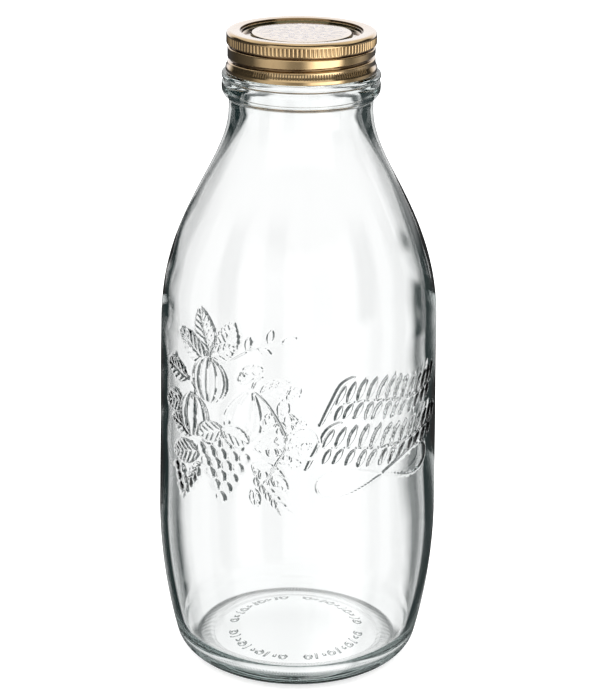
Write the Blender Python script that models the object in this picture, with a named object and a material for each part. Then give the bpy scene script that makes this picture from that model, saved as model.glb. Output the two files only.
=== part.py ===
"""A clear glass milk bottle with a two-piece screw closure: a sheet-metal band over a lined disc.

Metres, +Z up. The bottle stands on its contact ring at the world origin. The closure's pieces hang
from an empty at the centre of the bottle's rim, so their own heights are counted from the rim.
"""

import math

import bmesh
import bpy

# The glass, outside
BOTTLE_HEIGHT = 0.2373
BODY_RADIUS = 0.0524
BODY_TAPER = 0.0013
BELLY_HEIGHT = 0.058
BELLY_SWEEP_RADIUS = 0.210
HEEL_RADIUS = 0.0105
SHOULDER_HEIGHT = 0.081
SHOULDER_FULLNESS = 0.52
NECK_FLARE = 0.26
NECK_LENGTH = 0.0039

# The glass, inside and underneath
GLASS_WALL = 0.0032
INNER_NECK_FLARE = 0.18
BASE_WALL = 0.0050
INNER_HEEL_RADIUS = 0.012
PUSH_UP = 0.0045
CONTACT_WIDTH = 0.0025

# The finish: the rim, the thread and the collar that the closure screws down to
FINISH_RADIUS = 0.0246
FINISH_HEIGHT = 0.0121
FINISH_WALL = 0.0030
RIM_ROUND = 0.0008
NECK_STEP = 0.0014
COLLAR_RISE = 0.0039
COLLAR_HEIGHT = 0.0093
COLLAR_TOP_ROUND = 0.0008
LIP_HEIGHT = 0.0025
LIP_ROUND = 0.0014
NOTCH_DEPTH = 0.0011
BEAD_TOP_ROUND = 0.0023
BEAD_BOTTOM_ROUND = 0.0041
THREAD_RISE = 0.00115
THREAD_PITCH = 0.0036
THREAD_ROOT_HALF = 0.0009
THREAD_CREST_HALF = 0.0003

# The closure
SHEET = 0.0003
RING_THICKNESS = 0.0008
RING_OVERHANG = 0.0007
RING_CHAMFER = 0.0002
PAN_DEPTH = 0.0005
PAN_WALL = 0.0004
PANEL_INSET = 0.0035
FLANGE_OVERHANG = 0.0003
FLANGE_DROOP = 0.0004
FLANGE_DROOP_WIDTH = 0.0025
CORNER_RADIUS = 0.0014
KNURL_RISE = 0.0004
KNURL_HEIGHT = 0.0034
UNDERCUT_HEIGHT = 0.0009
UNDERCUT_FLOOR_HALF = 0.00015
GROOVE_HALF = 0.0009
GROOVE_FLOOR_HALF = 0.00025
BULGE_RISE = 0.0007
HEM_ROUND = 0.0004

# Clearances between pieces
SEAT_GAP = 0.0003
PAN_GAP = 0.0006
DISC_GAP = 0.0006
THREAD_CREST_GAP = 0.00035
THREAD_ROOT_GAP = 0.0006
THREAD_DROP = 0.0014
THREAD_TOP_GAP = 0.0005

# The thread and the groove run once round, centred on the front, and fade out at the back
THREAD_CENTRE = math.radians(-90)
THREAD_FULL_HALF = math.radians(140)
THREAD_END_HALF = math.radians(160)

# Heights in the closure, counted from the bottle's rim
RING_TOP = SEAT_GAP + RING_THICKNESS
DISC_TOP = RING_TOP + SEAT_GAP + SHEET
FLANGE_EDGE_TOP = DISC_TOP + SEAT_GAP + SHEET
BAND_TOP = FLANGE_EDGE_TOP + FLANGE_DROOP
KNURL_BOTTOM = BAND_TOP - CORNER_RADIUS - KNURL_HEIGHT
THREAD_REACH = THREAD_PITCH * THREAD_END_HALF / math.tau
THREAD_MIDDLE = KNURL_BOTTOM - UNDERCUT_HEIGHT - THREAD_TOP_GAP - THREAD_CREST_HALF - THREAD_REACH
GROOVE_MIDDLE = THREAD_MIDDLE - THREAD_DROP
SKIRT_BOTTOM = SEAT_GAP - FINISH_HEIGHT

# Radii that the pieces of the closure share
OPENING_RADIUS = FINISH_RADIUS - FINISH_WALL + FLANGE_OVERHANG
PAN_RADIUS = OPENING_RADIUS - PAN_GAP
SKIRT_RADIUS = FINISH_RADIUS + THREAD_RISE + THREAD_CREST_GAP + SHEET
GROOVE_RADIUS = FINISH_RADIUS + THREAD_ROOT_GAP + SHEET
KNURL_RADIUS = SKIRT_RADIUS + KNURL_RISE
DISC_RADIUS = KNURL_RADIUS - SHEET - DISC_GAP

SEGMENTS = 48


def arc(centre, radius, start, end, steps):
    """Points on an arc about (radius, height) centre, from start to end degrees, both included."""
    angles = [math.radians(start + (end - start) * step / steps) for step in range(steps + 1)]
    return [(centre[0] + radius * math.cos(a), centre[1] + radius * math.sin(a)) for a in angles]


def dome(edge_radius, edge_height, rise, steps):
    """Points from the axis out to the edge of a shallow dome."""
    radii = [edge_radius * step / steps for step in range(steps + 1)]
    return [(r, edge_height + rise * (1 - (r / edge_radius) ** 2)) for r in radii]


def s_curve(low, high, low_handle, high_handle, steps):
    """Points on a curve that leaves low going straight up and reaches high going straight up."""
    span = high[1] - low[1]
    handles = (low, (low[0], low[1] + low_handle * span), (high[0], high[1] - high_handle * span), high)
    points = []
    for step in range(steps + 1):
        t = step / steps
        weights = ((1 - t) ** 3, 3 * t * (1 - t) ** 2, 3 * t * t * (1 - t), t**3)
        points.append(tuple(sum(w * h[axis] for w, h in zip(weights, handles)) for axis in (0, 1)))
    return points


def lower_body(inset, floor, heel_radius, steps):
    """Points from the floor up the heel and the belly to the widest height, inset from the outside."""
    sweep = BELLY_SWEEP_RADIUS - inset
    centre = (BODY_RADIUS - BELLY_SWEEP_RADIUS, BELLY_HEIGHT)
    fall = BELLY_HEIGHT - floor - heel_radius
    heel_centre = (centre[0] + math.sqrt((sweep - heel_radius) ** 2 - fall**2), floor + heel_radius)
    meet = -math.degrees(math.asin(fall / (sweep - heel_radius)))
    heel = arc(heel_centre, heel_radius, -90, meet, steps)
    return heel + arc(centre, sweep, meet, 0, steps)[1:]


def helix(angle):
    """Turns from the thread's middle at this angle, and how full the thread is there, from 0 to 1."""
    away = (angle - THREAD_CENTRE + math.pi) % math.tau - math.pi
    if abs(away) <= THREAD_END_HALF:
        turns = away / math.tau
    else:
        back = (math.pi - abs(away)) / (math.pi - THREAD_END_HALF)
        turns = math.copysign(THREAD_END_HALF, away) * back / math.tau
    fade = (THREAD_END_HALF - abs(away)) / (THREAD_END_HALF - THREAD_FULL_HALF)
    return turns, min(max(fade, 0), 1)


def inner_side(outline, thickness):
    """The outline moved inwards, to its right, by an even sheet thickness, from last point to first."""
    moved = []
    for place, (radius, height) in enumerate(outline):
        before = outline[max(place - 1, 0)]
        after = outline[min(place + 1, len(outline) - 1)]
        turns = []
        for a, b in ((before, (radius, height)), ((radius, height), after)):
            length = math.dist(a, b)
            if length:
                turns.append(((b[1] - a[1]) / length, -(b[0] - a[0]) / length))
        normal = [sum(turn[axis] for turn in turns) / len(turns) for axis in (0, 1)]
        square = normal[0] ** 2 + normal[1] ** 2
        moved.append((radius + thickness * normal[0] / square, height + thickness * normal[1] / square))
    return moved[::-1]


def material(name, colour, roughness, metallic=0.0, transmission=0.0):
    made = bpy.data.materials.new(name)
    made.use_nodes = True
    shader = made.node_tree.nodes["Principled BSDF"]
    shader.inputs["Base Color"].default_value = (*colour, 1)
    shader.inputs["Roughness"].default_value = roughness
    shader.inputs["Metallic"].default_value = metallic
    shader.inputs["Transmission Weight"].default_value = transmission
    shader.inputs["IOR"].default_value = 1.52
    return made


def turned(name, outline_at, looped, made_of, parent=None):
    """A solid turned about +Z. outline_at(angle) lists its (radius, height) points at that angle."""
    mesh = bmesh.new()
    poles = {}
    columns = []
    for step in range(SEGMENTS):
        angle = math.tau * step / SEGMENTS
        column = []
        for place, (radius, height) in enumerate(outline_at(angle)):
            if radius == 0:
                if place not in poles:
                    poles[place] = mesh.verts.new((0, 0, height))
                column.append(poles[place])
            else:
                column.append(mesh.verts.new((radius * math.cos(angle), radius * math.sin(angle), height)))
        columns.append(column)
    for left, right in zip(columns, columns[1:] + columns[:1]):
        if looped:
            left = left + left[:1]
            right = right + right[:1]
        for (a, b), (c, d) in zip(zip(left, left[1:]), zip(right, right[1:])):
            mesh.faces.new(list(dict.fromkeys((a, c, d, b))))
    bmesh.ops.recalc_face_normals(mesh, faces=mesh.faces)
    data = bpy.data.meshes.new(name)
    mesh.to_mesh(data)
    mesh.free()
    data.shade_smooth()
    data.set_sharp_from_angle(angle=math.radians(35))
    data.materials.append(made_of)
    made = bpy.data.objects.new(name, data)
    made.parent = parent
    bpy.context.scene.collection.objects.link(made)
    return made


def beaded_collar(neck_radius, radius, bottom, top):
    """The collar's outline, going up: a full round bead, a shallow notch and a thin lip over it."""
    notch = radius - NOTCH_DEPTH
    notch_height = top - LIP_HEIGHT

    def reach(edge, rounding):
        return math.acos((edge - radius + rounding) / rounding)

    bead_start = reach(neck_radius, BEAD_BOTTOM_ROUND)
    bead_end = reach(notch, BEAD_TOP_ROUND)
    lip_start = reach(notch, LIP_ROUND)
    bead_low = (radius - BEAD_BOTTOM_ROUND, bottom + BEAD_BOTTOM_ROUND * math.sin(bead_start))
    bead_high = (radius - BEAD_TOP_ROUND, notch_height - BEAD_TOP_ROUND * math.sin(bead_end))
    lip_low = (radius - LIP_ROUND, notch_height + LIP_ROUND * math.sin(lip_start))
    lip_high = (radius - COLLAR_TOP_ROUND, top - COLLAR_TOP_ROUND)
    return (
        arc(bead_low, BEAD_BOTTOM_ROUND, -math.degrees(bead_start), 0, 4)
        + arc(bead_high, BEAD_TOP_ROUND, 0, math.degrees(bead_end), 3)
        + arc(lip_low, LIP_ROUND, -math.degrees(lip_start), 0, 3)[1:]
        + arc(lip_high, COLLAR_TOP_ROUND, 0, 90, 2)
    )


def glass_bottle():
    """The bottle: one outline from the middle of the underside, up the outside and down the inside."""
    collar_top = BOTTLE_HEIGHT - FINISH_HEIGHT
    collar_bottom = collar_top - COLLAR_HEIGHT
    neck_bottom = collar_bottom - NECK_LENGTH
    shoulder_bottom = neck_bottom - SHOULDER_HEIGHT
    neck_radius = FINISH_RADIUS + NECK_STEP
    collar_radius = FINISH_RADIUS + COLLAR_RISE
    body_top_radius = BODY_RADIUS - BODY_TAPER
    mouth_radius = FINISH_RADIUS - FINISH_WALL

    outside = lower_body(0, 0, HEEL_RADIUS, 5)
    contact = outside[0][0] - CONTACT_WIDTH
    underside = dome(contact, 0, PUSH_UP, 4)
    shoulder = s_curve(
        (body_top_radius, shoulder_bottom),
        (neck_radius, neck_bottom),
        SHOULDER_FULLNESS,
        NECK_FLARE,
        12,
    )
    collar = beaded_collar(neck_radius, collar_radius, collar_bottom, collar_top)
    collar += [(FINISH_RADIUS, collar_top)]
    rim = arc((FINISH_RADIUS - RIM_ROUND, BOTTLE_HEIGHT - RIM_ROUND), RIM_ROUND, 0, 90, 2)
    rim += arc((mouth_radius + RIM_ROUND, BOTTLE_HEIGHT - RIM_ROUND), RIM_ROUND, 90, 180, 2)
    inside = lower_body(GLASS_WALL, BASE_WALL, INNER_HEEL_RADIUS, 4)
    inner_shoulder = s_curve(
        (body_top_radius - GLASS_WALL, shoulder_bottom),
        (mouth_radius, neck_bottom),
        SHOULDER_FULLNESS,
        INNER_NECK_FLARE,
        9,
    )
    inner_floor = dome(inside[0][0], BASE_WALL, PUSH_UP, 3)[:-1]
    going_up = underside + outside + shoulder + collar
    going_down = rim + (inner_floor + inside + inner_shoulder)[::-1]

    def outline_at(angle):
        turns, fullness = helix(angle)
        middle = BOTTLE_HEIGHT + THREAD_MIDDLE + THREAD_PITCH * turns
        crest = FINISH_RADIUS + THREAD_RISE * fullness
        thread = [
            (FINISH_RADIUS, middle - THREAD_ROOT_HALF),
            (crest, middle - THREAD_CREST_HALF),
            (crest, middle + THREAD_CREST_HALF),
            (FINISH_RADIUS, middle + THREAD_ROOT_HALF),
        ]
        return going_up + thread + going_down

    clear_glass = material("clear_glass", (0.93, 0.98, 0.97), 0.02, transmission=1.0)
    return turned("glass_bottle", outline_at, False, clear_glass)


def lid_disc(parent, gold):
    """The disc: a rim under the band's flange, a shallow pan and a raised middle panel."""
    panel_radius = PAN_RADIUS - PANEL_INSET
    top = [
        (DISC_RADIUS, DISC_TOP),
        (PAN_RADIUS, DISC_TOP),
        (PAN_RADIUS - PAN_WALL, DISC_TOP - PAN_DEPTH),
        (panel_radius, DISC_TOP - PAN_DEPTH),
        (panel_radius - PAN_WALL, DISC_TOP),
        (panel_radius * 0.5, DISC_TOP),
    ]
    under = [(radius, height - SHEET) for radius, height in top]
    outline = [(0, DISC_TOP)] + top[::-1] + under + [(0, DISC_TOP - SHEET)]
    return turned("lid_disc", lambda angle: outline, False, gold, parent)


def sealing_ring(parent):
    """The soft ring under the disc's rim, which the band presses onto the glass."""
    inner = OPENING_RADIUS
    outer = FINISH_RADIUS + RING_OVERHANG
    outline = [
        (inner, RING_TOP),
        (inner, SEAT_GAP + RING_CHAMFER),
        (inner + RING_CHAMFER, SEAT_GAP),
        (outer - RING_CHAMFER, SEAT_GAP),
        (outer, SEAT_GAP + RING_CHAMFER),
        (outer, RING_TOP),
    ]
    compound = material("sealing_compound", (0.72, 0.70, 0.66), 0.6)
    return turned("sealing_ring", lambda angle: outline, True, compound, parent)


def screw_band(parent, gold):
    """The band: a flange with a wide opening, a corner, a bead for the grip and a threaded skirt."""
    corner_centre = (KNURL_RADIUS - CORNER_RADIUS, BAND_TOP - CORNER_RADIUS)
    undercut_middle = KNURL_BOTTOM - UNDERCUT_HEIGHT / 2
    top = [(OPENING_RADIUS, FLANGE_EDGE_TOP), (OPENING_RADIUS + FLANGE_DROOP_WIDTH, BAND_TOP)]
    top += arc(corner_centre, CORNER_RADIUS, 90, 0, 4)
    top += [
        (KNURL_RADIUS, KNURL_BOTTOM),
        (GROOVE_RADIUS, undercut_middle + UNDERCUT_FLOOR_HALF),
        (GROOVE_RADIUS, undercut_middle - UNDERCUT_FLOOR_HALF),
        (SKIRT_RADIUS, KNURL_BOTTOM - UNDERCUT_HEIGHT),
    ]
    plain_height = GROOVE_MIDDLE - THREAD_REACH - GROOVE_HALF - SKIRT_BOTTOM
    hem_round = min(HEM_ROUND, plain_height / 4)
    bulge_radius = SKIRT_RADIUS + BULGE_RISE
    bottom = [
        (bulge_radius, SKIRT_BOTTOM + plain_height / 2),
        (bulge_radius, SKIRT_BOTTOM + hem_round),
        (bulge_radius - hem_round / 2, SKIRT_BOTTOM),
    ]

    def outline_at(angle):
        turns, fullness = helix(angle)
        middle = GROOVE_MIDDLE + THREAD_PITCH * turns
        floor = SKIRT_RADIUS + (GROOVE_RADIUS - SKIRT_RADIUS) * fullness
        groove = [
            (SKIRT_RADIUS, middle + GROOVE_HALF),
            (floor, middle + GROOVE_FLOOR_HALF),
            (floor, middle - GROOVE_FLOOR_HALF),
            (SKIRT_RADIUS, middle - GROOVE_HALF),
        ]
        outside = top + groove + bottom
        return outside + inner_side(outside, SHEET)

    return turned("screw_band", outline_at, True, gold, parent)


for old in list(bpy.data.objects):
    bpy.data.objects.remove(old)

glass_bottle()

closure = bpy.data.objects.new("closure", None)
closure.location = (0, 0, BOTTLE_HEIGHT)
bpy.context.scene.collection.objects.link(closure)

gold_lacquer = material("gold_lacquer", (0.62, 0.45, 0.22), 0.32, metallic=1.0)
lid_disc(closure, gold_lacquer)
sealing_ring(closure)
screw_band(closure, gold_lacquer)
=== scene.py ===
import math

import bmesh
import bpy
import numpy as np
from mathutils import Matrix, Vector
from mathutils.geometry import delaunay_2d_cdt


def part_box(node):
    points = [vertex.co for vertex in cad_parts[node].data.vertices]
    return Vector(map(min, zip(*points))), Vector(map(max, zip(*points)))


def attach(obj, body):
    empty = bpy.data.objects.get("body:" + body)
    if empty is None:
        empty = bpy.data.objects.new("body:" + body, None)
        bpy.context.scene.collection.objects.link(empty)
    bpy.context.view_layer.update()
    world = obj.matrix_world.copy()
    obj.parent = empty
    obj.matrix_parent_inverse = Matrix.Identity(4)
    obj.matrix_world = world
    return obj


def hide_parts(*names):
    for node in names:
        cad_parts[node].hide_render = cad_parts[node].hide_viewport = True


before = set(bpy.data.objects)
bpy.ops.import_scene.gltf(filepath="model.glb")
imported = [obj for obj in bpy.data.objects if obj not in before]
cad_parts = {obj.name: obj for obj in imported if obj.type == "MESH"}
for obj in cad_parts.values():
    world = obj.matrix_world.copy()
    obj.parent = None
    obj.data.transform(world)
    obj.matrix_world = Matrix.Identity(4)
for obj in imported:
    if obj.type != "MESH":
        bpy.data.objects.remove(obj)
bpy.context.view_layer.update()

# ---- The studio: a white surround and a pale floor. Black flags stand beside each white panel behind the
# ---- glass, which draws its edges dark, and a softbox stands behind the camera on the right for the metal.


def paint(hex_colour):
    """An sRGB hex colour as linear red, green, blue and one."""
    parts = [int(hex_colour[place:place + 2], 16) / 255 for place in (1, 3, 5)]
    return (*(c / 12.92 if c <= 0.04045 else ((c + 0.055) / 1.055) ** 2.4 for c in parts), 1)


def add(tree, kind, settings=None, wires=None):
    """Adds a node with its settings, then gives each socket a value or a link. Returns its outputs."""
    made = tree.nodes.new(kind)
    for name, value in (settings or {}).items():
        setattr(made, name, value)
    for name, value in (wires or {}).items():
        if isinstance(value, bpy.types.NodeSocket):
            tree.links.new(value, made.inputs[name])
        else:
            made.inputs[name].default_value = value
    return made.outputs


def put(name, data):
    """A new object with this data, linked into the scene."""
    made = bpy.data.objects.new(name, data)
    bpy.context.scene.collection.objects.link(made)
    return made


def new_material(name):
    """A new material and its node tree, emptied."""
    made = bpy.data.materials.new(name)
    made.use_nodes = True
    made.node_tree.nodes.clear()
    return made, made.node_tree


scene = bpy.context.scene
CAMERA_PLACE = (0.00054, -0.7485, 0.3885)
CAMERA_PITCH = 19.78
CAMERA_ROLL = 0.59
camera_data = bpy.data.cameras.new("camera")
camera_data.lens = 109.6
camera = put("camera", camera_data)
camera.matrix_world = (
    Matrix.Translation(CAMERA_PLACE)
    @ Matrix.Rotation(math.radians(90 - CAMERA_PITCH), 4, "X")
    @ Matrix.Rotation(math.radians(CAMERA_ROLL), 4, "Z")
)
scene.camera = camera
scene.view_settings.view_transform = "Standard"
scene.cycles.max_bounces = 32
scene.cycles.transmission_bounces = 28
scene.cycles.glossy_bounces = 12

world = bpy.data.worlds.new("studio")
scene.world = world
world.use_nodes = True
sky = world.node_tree
sky.nodes.clear()
toward = add(sky, "ShaderNodeTexCoord")["Generated"]
split = add(sky, "ShaderNodeSeparateXYZ", wires={0: toward})
height = split[2]
azimuth = add(sky, "ShaderNodeMath", {"operation": "ARCTAN2"}, {0: split[0], 1: split[1]})[0]
around = add(sky, "ShaderNodeMapRange",
             wires={"Value": azimuth, "From Min": -math.pi, "From Max": math.pi})[0]


def panels(stops):
    """Brightness by azimuth, in degrees clockwise from straight behind the bottle, as seen from above."""
    ramp = add(sky, "ShaderNodeValToRGB", wires={0: around})
    colours = ramp[0].node.color_ramp.elements
    colours.remove(colours[1])
    for place, (degrees, grey) in enumerate(stops):
        colour = colours[0] if place == 0 else colours.new((degrees + 180) / 360)
        colour.color = (grey, grey, grey, 1)
    return ramp[0]


def fade(start, end, low=0.0, high=1.0):
    """A smooth change with the height of the direction, from low at start to high at end."""
    return add(sky, "ShaderNodeMapRange", {"interpolation_type": "SMOOTHSTEP"}, {
        "Value": height, "From Min": start, "From Max": end, "To Min": low, "To Max": high})[0]


# Each flag is a middle and a half width in degrees, and how bright it is. Higher up, two wide ones stand
# behind the bottle, one to each side
LEFT_FLAG = (-112.5, 9, 0.1)
RIGHT_FLAGS = ((112.5, 8, 0.15), (157.5, 8, 0.15))
LOW_FLAGS = (LEFT_FLAG, (-67.5, 9, 0.04), (-25, 11, 0.005), (27, 13, 0.005), *RIGHT_FLAGS)
HIGH_FLAGS = (LEFT_FLAG, (-48, 28.5, 0.005), (41.5, 22, 0.005), *RIGHT_FLAGS)
FLAG_EDGE = 4


def flags_and_panels(flags):
    """White panels all round, with the flags between them."""
    stops = [(-180, 1)]
    for middle, half, black in flags:
        stops += [(middle - half - FLAG_EDGE, 1), (middle - half, black)]
        stops += [(middle + half, black), (middle + half + FLAG_EDGE, 1)]
    return panels(stops + [(180, 1)])


HIGH_FLAGS_START, HIGH_FLAGS_FULL = -0.31, -0.27
behind = add(sky, "ShaderNodeMix", {"data_type": "RGBA"}, {
    0: fade(HIGH_FLAGS_START, HIGH_FLAGS_FULL),
    6: flags_and_panels(LOW_FLAGS), 7: flags_and_panels(HIGH_FLAGS)})[2]
# The table is white below them, and the ceiling is grey, then white again straight overhead
TABLE_END, FLAGS_FOOT = -0.8, -0.56
table_white = fade(TABLE_END, FLAGS_FOOT, 1, 0)
behind = add(sky, "ShaderNodeMath", {"operation": "MAXIMUM"}, {0: behind, 1: table_white})[0]
CEILING_GREY = 0.65
for start, end, brightness in ((0.22, 0.45, CEILING_GREY), (0.8, 0.92, 1.0)):
    behind = add(sky, "ShaderNodeMix", {"data_type": "FLOAT"},
                 {0: fade(start, end), 2: behind, 3: brightness})[0]
FLAG_TINT = (0.003, 0.016, 0.016, 1)
WHITE = (1, 1, 1, 1)
behind = add(sky, "ShaderNodeMix", {"data_type": "RGBA"}, {0: behind, 6: FLAG_TINT, 7: WHITE})[2]

# What the metal mirrors: low down, at the height of the horizon, high up, and straight overhead
low_panels = panels((
    (-180, 0.3), (-164, 0.34), (-151, 0.62), (-128, 0.8), (-114, 0.55), (-100, 0.12), (-60, 0.05),
    (-20, 0.05), (20, 0.05), (50, 0.12), (66, 0.35), (79, 0.5), (96, 0.2), (111, 0.3), (122, 2.6),
    (158, 2.2), (173, 0.7), (180, 0.3),
))
level_panels = panels((
    (-180, 1.0), (-132, 0.9), (-124, 0.03), (-52, 0.02), (-40, 1.0), (40, 1.0), (52, 0.02),
    (126, 0.03), (134, 1.0), (180, 1.0),
))
high_panels = panels(((-180, 0.03), (-120, 0.03), (-80, 0.9), (80, 0.9), (120, 0.03), (180, 0.03)))
mirrored = low_panels
for start, end, upper in ((-0.12, 0.0, level_panels), (0.44, 0.54, high_panels), (0.93, 0.98, WHITE)):
    mirrored = add(sky, "ShaderNodeMix", {"data_type": "RGBA"},
                   {0: fade(start, end), 6: mirrored, 7: upper})[2]

# Matt surfaces, metal, glass and the camera each see their own sky, as each has its own lamps in a studio
light_path = add(sky, "ShaderNodeLightPath")
lights = add(sky, "ShaderNodeBackground", wires={"Color": WHITE, "Strength": 1.75})[0]
for ray, colour, strength in (
    ("Is Glossy Ray", mirrored, 1.0), ("Is Transmission Ray", behind, 1.07), ("Is Camera Ray", WHITE, 1.0),
):
    shown = add(sky, "ShaderNodeBackground", wires={"Color": colour, "Strength": strength})[0]
    chosen = light_path[ray]
    lights = add(sky, "ShaderNodeMixShader", wires={0: chosen, 1: lights, 2: shown})[0]
add(sky, "ShaderNodeOutputWorld", wires={"Surface": lights})

FLOOR_HALF = 6.0
FLOOR_DROP = 0.0002
floor_mesh = bpy.data.meshes.new("floor")
unit_corners = ((-1, -1), (1, -1), (1, 1), (-1, 1))
floor_corners = [(x * FLOOR_HALF, y * FLOOR_HALF, -FLOOR_DROP) for x, y in unit_corners]
floor_mesh.from_pydata(floor_corners, [], [(0, 1, 2, 3)])
floor = put("floor", floor_mesh)
floor.visible_transmission = False
floor.visible_glossy = False
# Matt white acrylic, lit from below: it stays white right up to the bottle, with only a faint shadow
floor_acrylic, tree = new_material("floor_acrylic")
matt = add(tree, "ShaderNodeBsdfDiffuse", wires={"Color": paint("#f3f3f3")})[0]
lit_from_below = add(tree, "ShaderNodeEmission", wires={"Color": WHITE, "Strength": 0.4})[0]
matt = add(tree, "ShaderNodeAddShader", wires={0: matt, 1: lit_from_below})[0]
add(tree, "ShaderNodeOutputMaterial", wires={"Surface": matt})
floor_mesh.materials.append(floor_acrylic)

# ---- The bottle: one piece of clear soda-lime glass, pressed and blown in a two-part mould. The mould cuts
# ---- the picture, the scrolls, the collar and the thread. The inner wall has no mould, so it is uneven.

_, high_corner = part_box("glass_bottle")
RIM = high_corner[2]
BODY_RADIUS = high_corner[0]
BODY_TAPER = 0.0013
BELLY_HEIGHT = 0.058
BELLY_SWEEP_RADIUS = 0.210
HEEL_RADIUS = 0.0105
SHOULDER_FOOT = 0.131
SHOULDER_FULLNESS = 0.52
NECK_FLARE = 0.26
NECK_RADIUS = 0.0260
NECK_FOOT = 0.212
COLLAR_FOOT = RIM - 0.0214
COLLAR_TOP = RIM - 0.0121
COLLAR_RADIUS = 0.0285
COLLAR_TOP_ROUND = 0.0008
LIP_HEIGHT = 0.0025
LIP_ROUND = 0.0014
NOTCH_DEPTH = 0.0011
BEAD_TOP_ROUND = 0.0023
BEAD_BOTTOM_ROUND = 0.0041
FINISH_RADIUS = 0.0246
MOUTH_RADIUS = 0.0216
RIM_ROUND = 0.0008
PUSH_UP = 0.0045
BASE_WALL = 0.0050
GLASS_WALL = 0.0032
INNER_HEEL_RADIUS = 0.012
INNER_NECK_FLARE = 0.18
CONTACT_WIDTH = 0.0025
COLUMNS = 192


def ease(share):
    """A change from 0 to 1 that starts and ends level."""
    return share * share * (3 - 2 * share)


def arc(centre, radius, start, end, steps):
    """Points on an arc about (radius, height) centre, from start to end degrees, both included."""
    angles = [math.radians(start + (end - start) * step / steps) for step in range(steps + 1)]
    return [(centre[0] + radius * math.cos(a), centre[1] + radius * math.sin(a)) for a in angles]


def s_curve(foot, head, low_handle, high_handle, steps):
    """Points from foot to head on a curve that is upright at both ends."""
    span = head[1] - foot[1]
    handles = (foot, (foot[0], foot[1] + low_handle * span), (head[0], head[1] - high_handle * span), head)
    points = []
    for step in range(steps + 1):
        t = step / steps
        weights = ((1 - t) ** 3, 3 * t * (1 - t) ** 2, 3 * t * t * (1 - t), t**3)
        points.append(tuple(sum(w * h[axis] for w, h in zip(weights, handles)) for axis in (0, 1)))
    return points


def lower_body(inset, floor_height, heel_radius, heel_steps, belly_steps):
    """Points from the floor up the heel and the belly to the widest height, inset from the outside."""
    sweep_radius = BELLY_SWEEP_RADIUS - inset
    centre = (BODY_RADIUS - BELLY_SWEEP_RADIUS, BELLY_HEIGHT)
    fall = BELLY_HEIGHT - floor_height - heel_radius
    reach = math.sqrt((sweep_radius - heel_radius) ** 2 - fall**2)
    meet = -math.degrees(math.asin(fall / (sweep_radius - heel_radius)))
    heel = arc((centre[0] + reach, floor_height + heel_radius), heel_radius, -90, meet, heel_steps)
    return heel + arc(centre, sweep_radius, meet, 0, belly_steps)[1:]


def dome(radius, edge_height, rise, steps):
    """Points on a shallow dome, from next to its middle out to its edge."""
    return [(radius * k / steps, edge_height + rise * (1 - (k / steps) ** 2)) for k in range(1, steps + 1)]


# The outside from the contact ring to the neck, as a fine line that every outside row is read from
line = lower_body(0, 0, HEEL_RADIUS, 60, 200)
line += s_curve((BODY_RADIUS - BODY_TAPER, SHOULDER_FOOT), (NECK_RADIUS, NECK_FOOT),
                SHOULDER_FULLNESS, NECK_FLARE, 900)
LINE_RADII, LINE_HEIGHTS = np.array(line).T


MOULD_WAVE = 0.00003
WALL_THINNER = 0.0004
WALL_DRIFT = 0.0006
WALL_SAG = 0.0009


def outside_radius(angle, at_height):
    """The body's outside, with the faint unevenness that a mould leaves."""
    even = np.interp(at_height, LINE_HEIGHTS, LINE_RADII)
    rise = np.clip((at_height - 0.05) / 0.06, 0, 1) * np.clip((0.205 - at_height) / 0.03, 0, 1)
    wave = np.sin(3 * angle + at_height * 90) + np.sin(5 * angle - at_height * 140 + 2)
    return even + MOULD_WAVE * rise * (wave - 2)


def wall(angle, at_height):
    """How thick the glass is. It is thin high on the left and thick low down and on the right."""
    sag = np.clip((0.125 - at_height) / 0.07, 0, 1)
    uneven = WALL_DRIFT * np.cos(angle) + WALL_SAG * ease(sag) - WALL_THINNER
    ripple = 0.00006 * np.sin(at_height * 330 + 2 * np.sin(angle * 2))
    ripple += 0.00005 * np.sin(5 * angle + at_height * 160)
    ripple *= np.clip((at_height - 0.07) / 0.06, 0, 1)
    fit = np.clip((at_height - 0.02) / 0.07, 0, 1) * np.clip((0.2 - at_height) / 0.05, 0, 1)
    return GLASS_WALL + (uneven + ripple) * ease(fit)


glass = bmesh.new()


def about(radius, angle, at_height):
    """A place this far from the bottle's axis, at this angle round it."""
    return radius * math.cos(angle), radius * math.sin(angle), at_height


def ring(count, place):
    """A closed row of vertices, each at the radius and height that place gives for its angle."""
    row = []
    for step in range(count):
        angle = math.tau * step / count
        radius, at_height = place(angle)
        row.append(glass.verts.new(about(radius, angle, at_height)))
    return row


def even_rows(count, spots):
    """Rows that keep one radius and one height all round."""
    return [ring(count, lambda angle, spot=spot: spot) for spot in spots]


def bridge(first, second, skip=range(0)):
    """Faces between two rows, where one may hold a whole number of times as many vertices."""
    fine, coarse = (first, second) if len(first) >= len(second) else (second, first)
    share = len(fine) // len(coarse)
    for step in range(len(coarse)):
        if step in skip:
            continue
        a, b = coarse[step], coarse[(step + 1) % len(coarse)]
        run = [fine[(step * share + k) % len(fine)] for k in range(share + 1)]
        if share == 1:
            glass.faces.new((a, b, run[1], run[0]))
            continue
        middle = share // 2
        for k in range(share):
            glass.faces.new((a if k < middle else b, run[k + 1], run[k]))
        glass.faces.new((a, b, run[middle]))


# The picture's patch of the outside: columns of the rows, and rows of even height, each cut in eight
CUTS = 8
PATCH_COLUMNS = range(COLUMNS - 86, COLUMNS - 7)
PATCH_LOW = 0.0662
PATCH_ROW = 0.0020
PATCH_ROWS = 44
ROWS_ABOVE = 24
patch_heights = [PATCH_LOW + PATCH_ROW * row for row in range(PATCH_ROWS + 1)]
patch_top = patch_heights[-1]

heel_and_belly = lower_body(0, 0, HEEL_RADIUS, 12, 26)
contact_inner = heel_and_belly[0][0] - CONTACT_WIDTH
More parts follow.
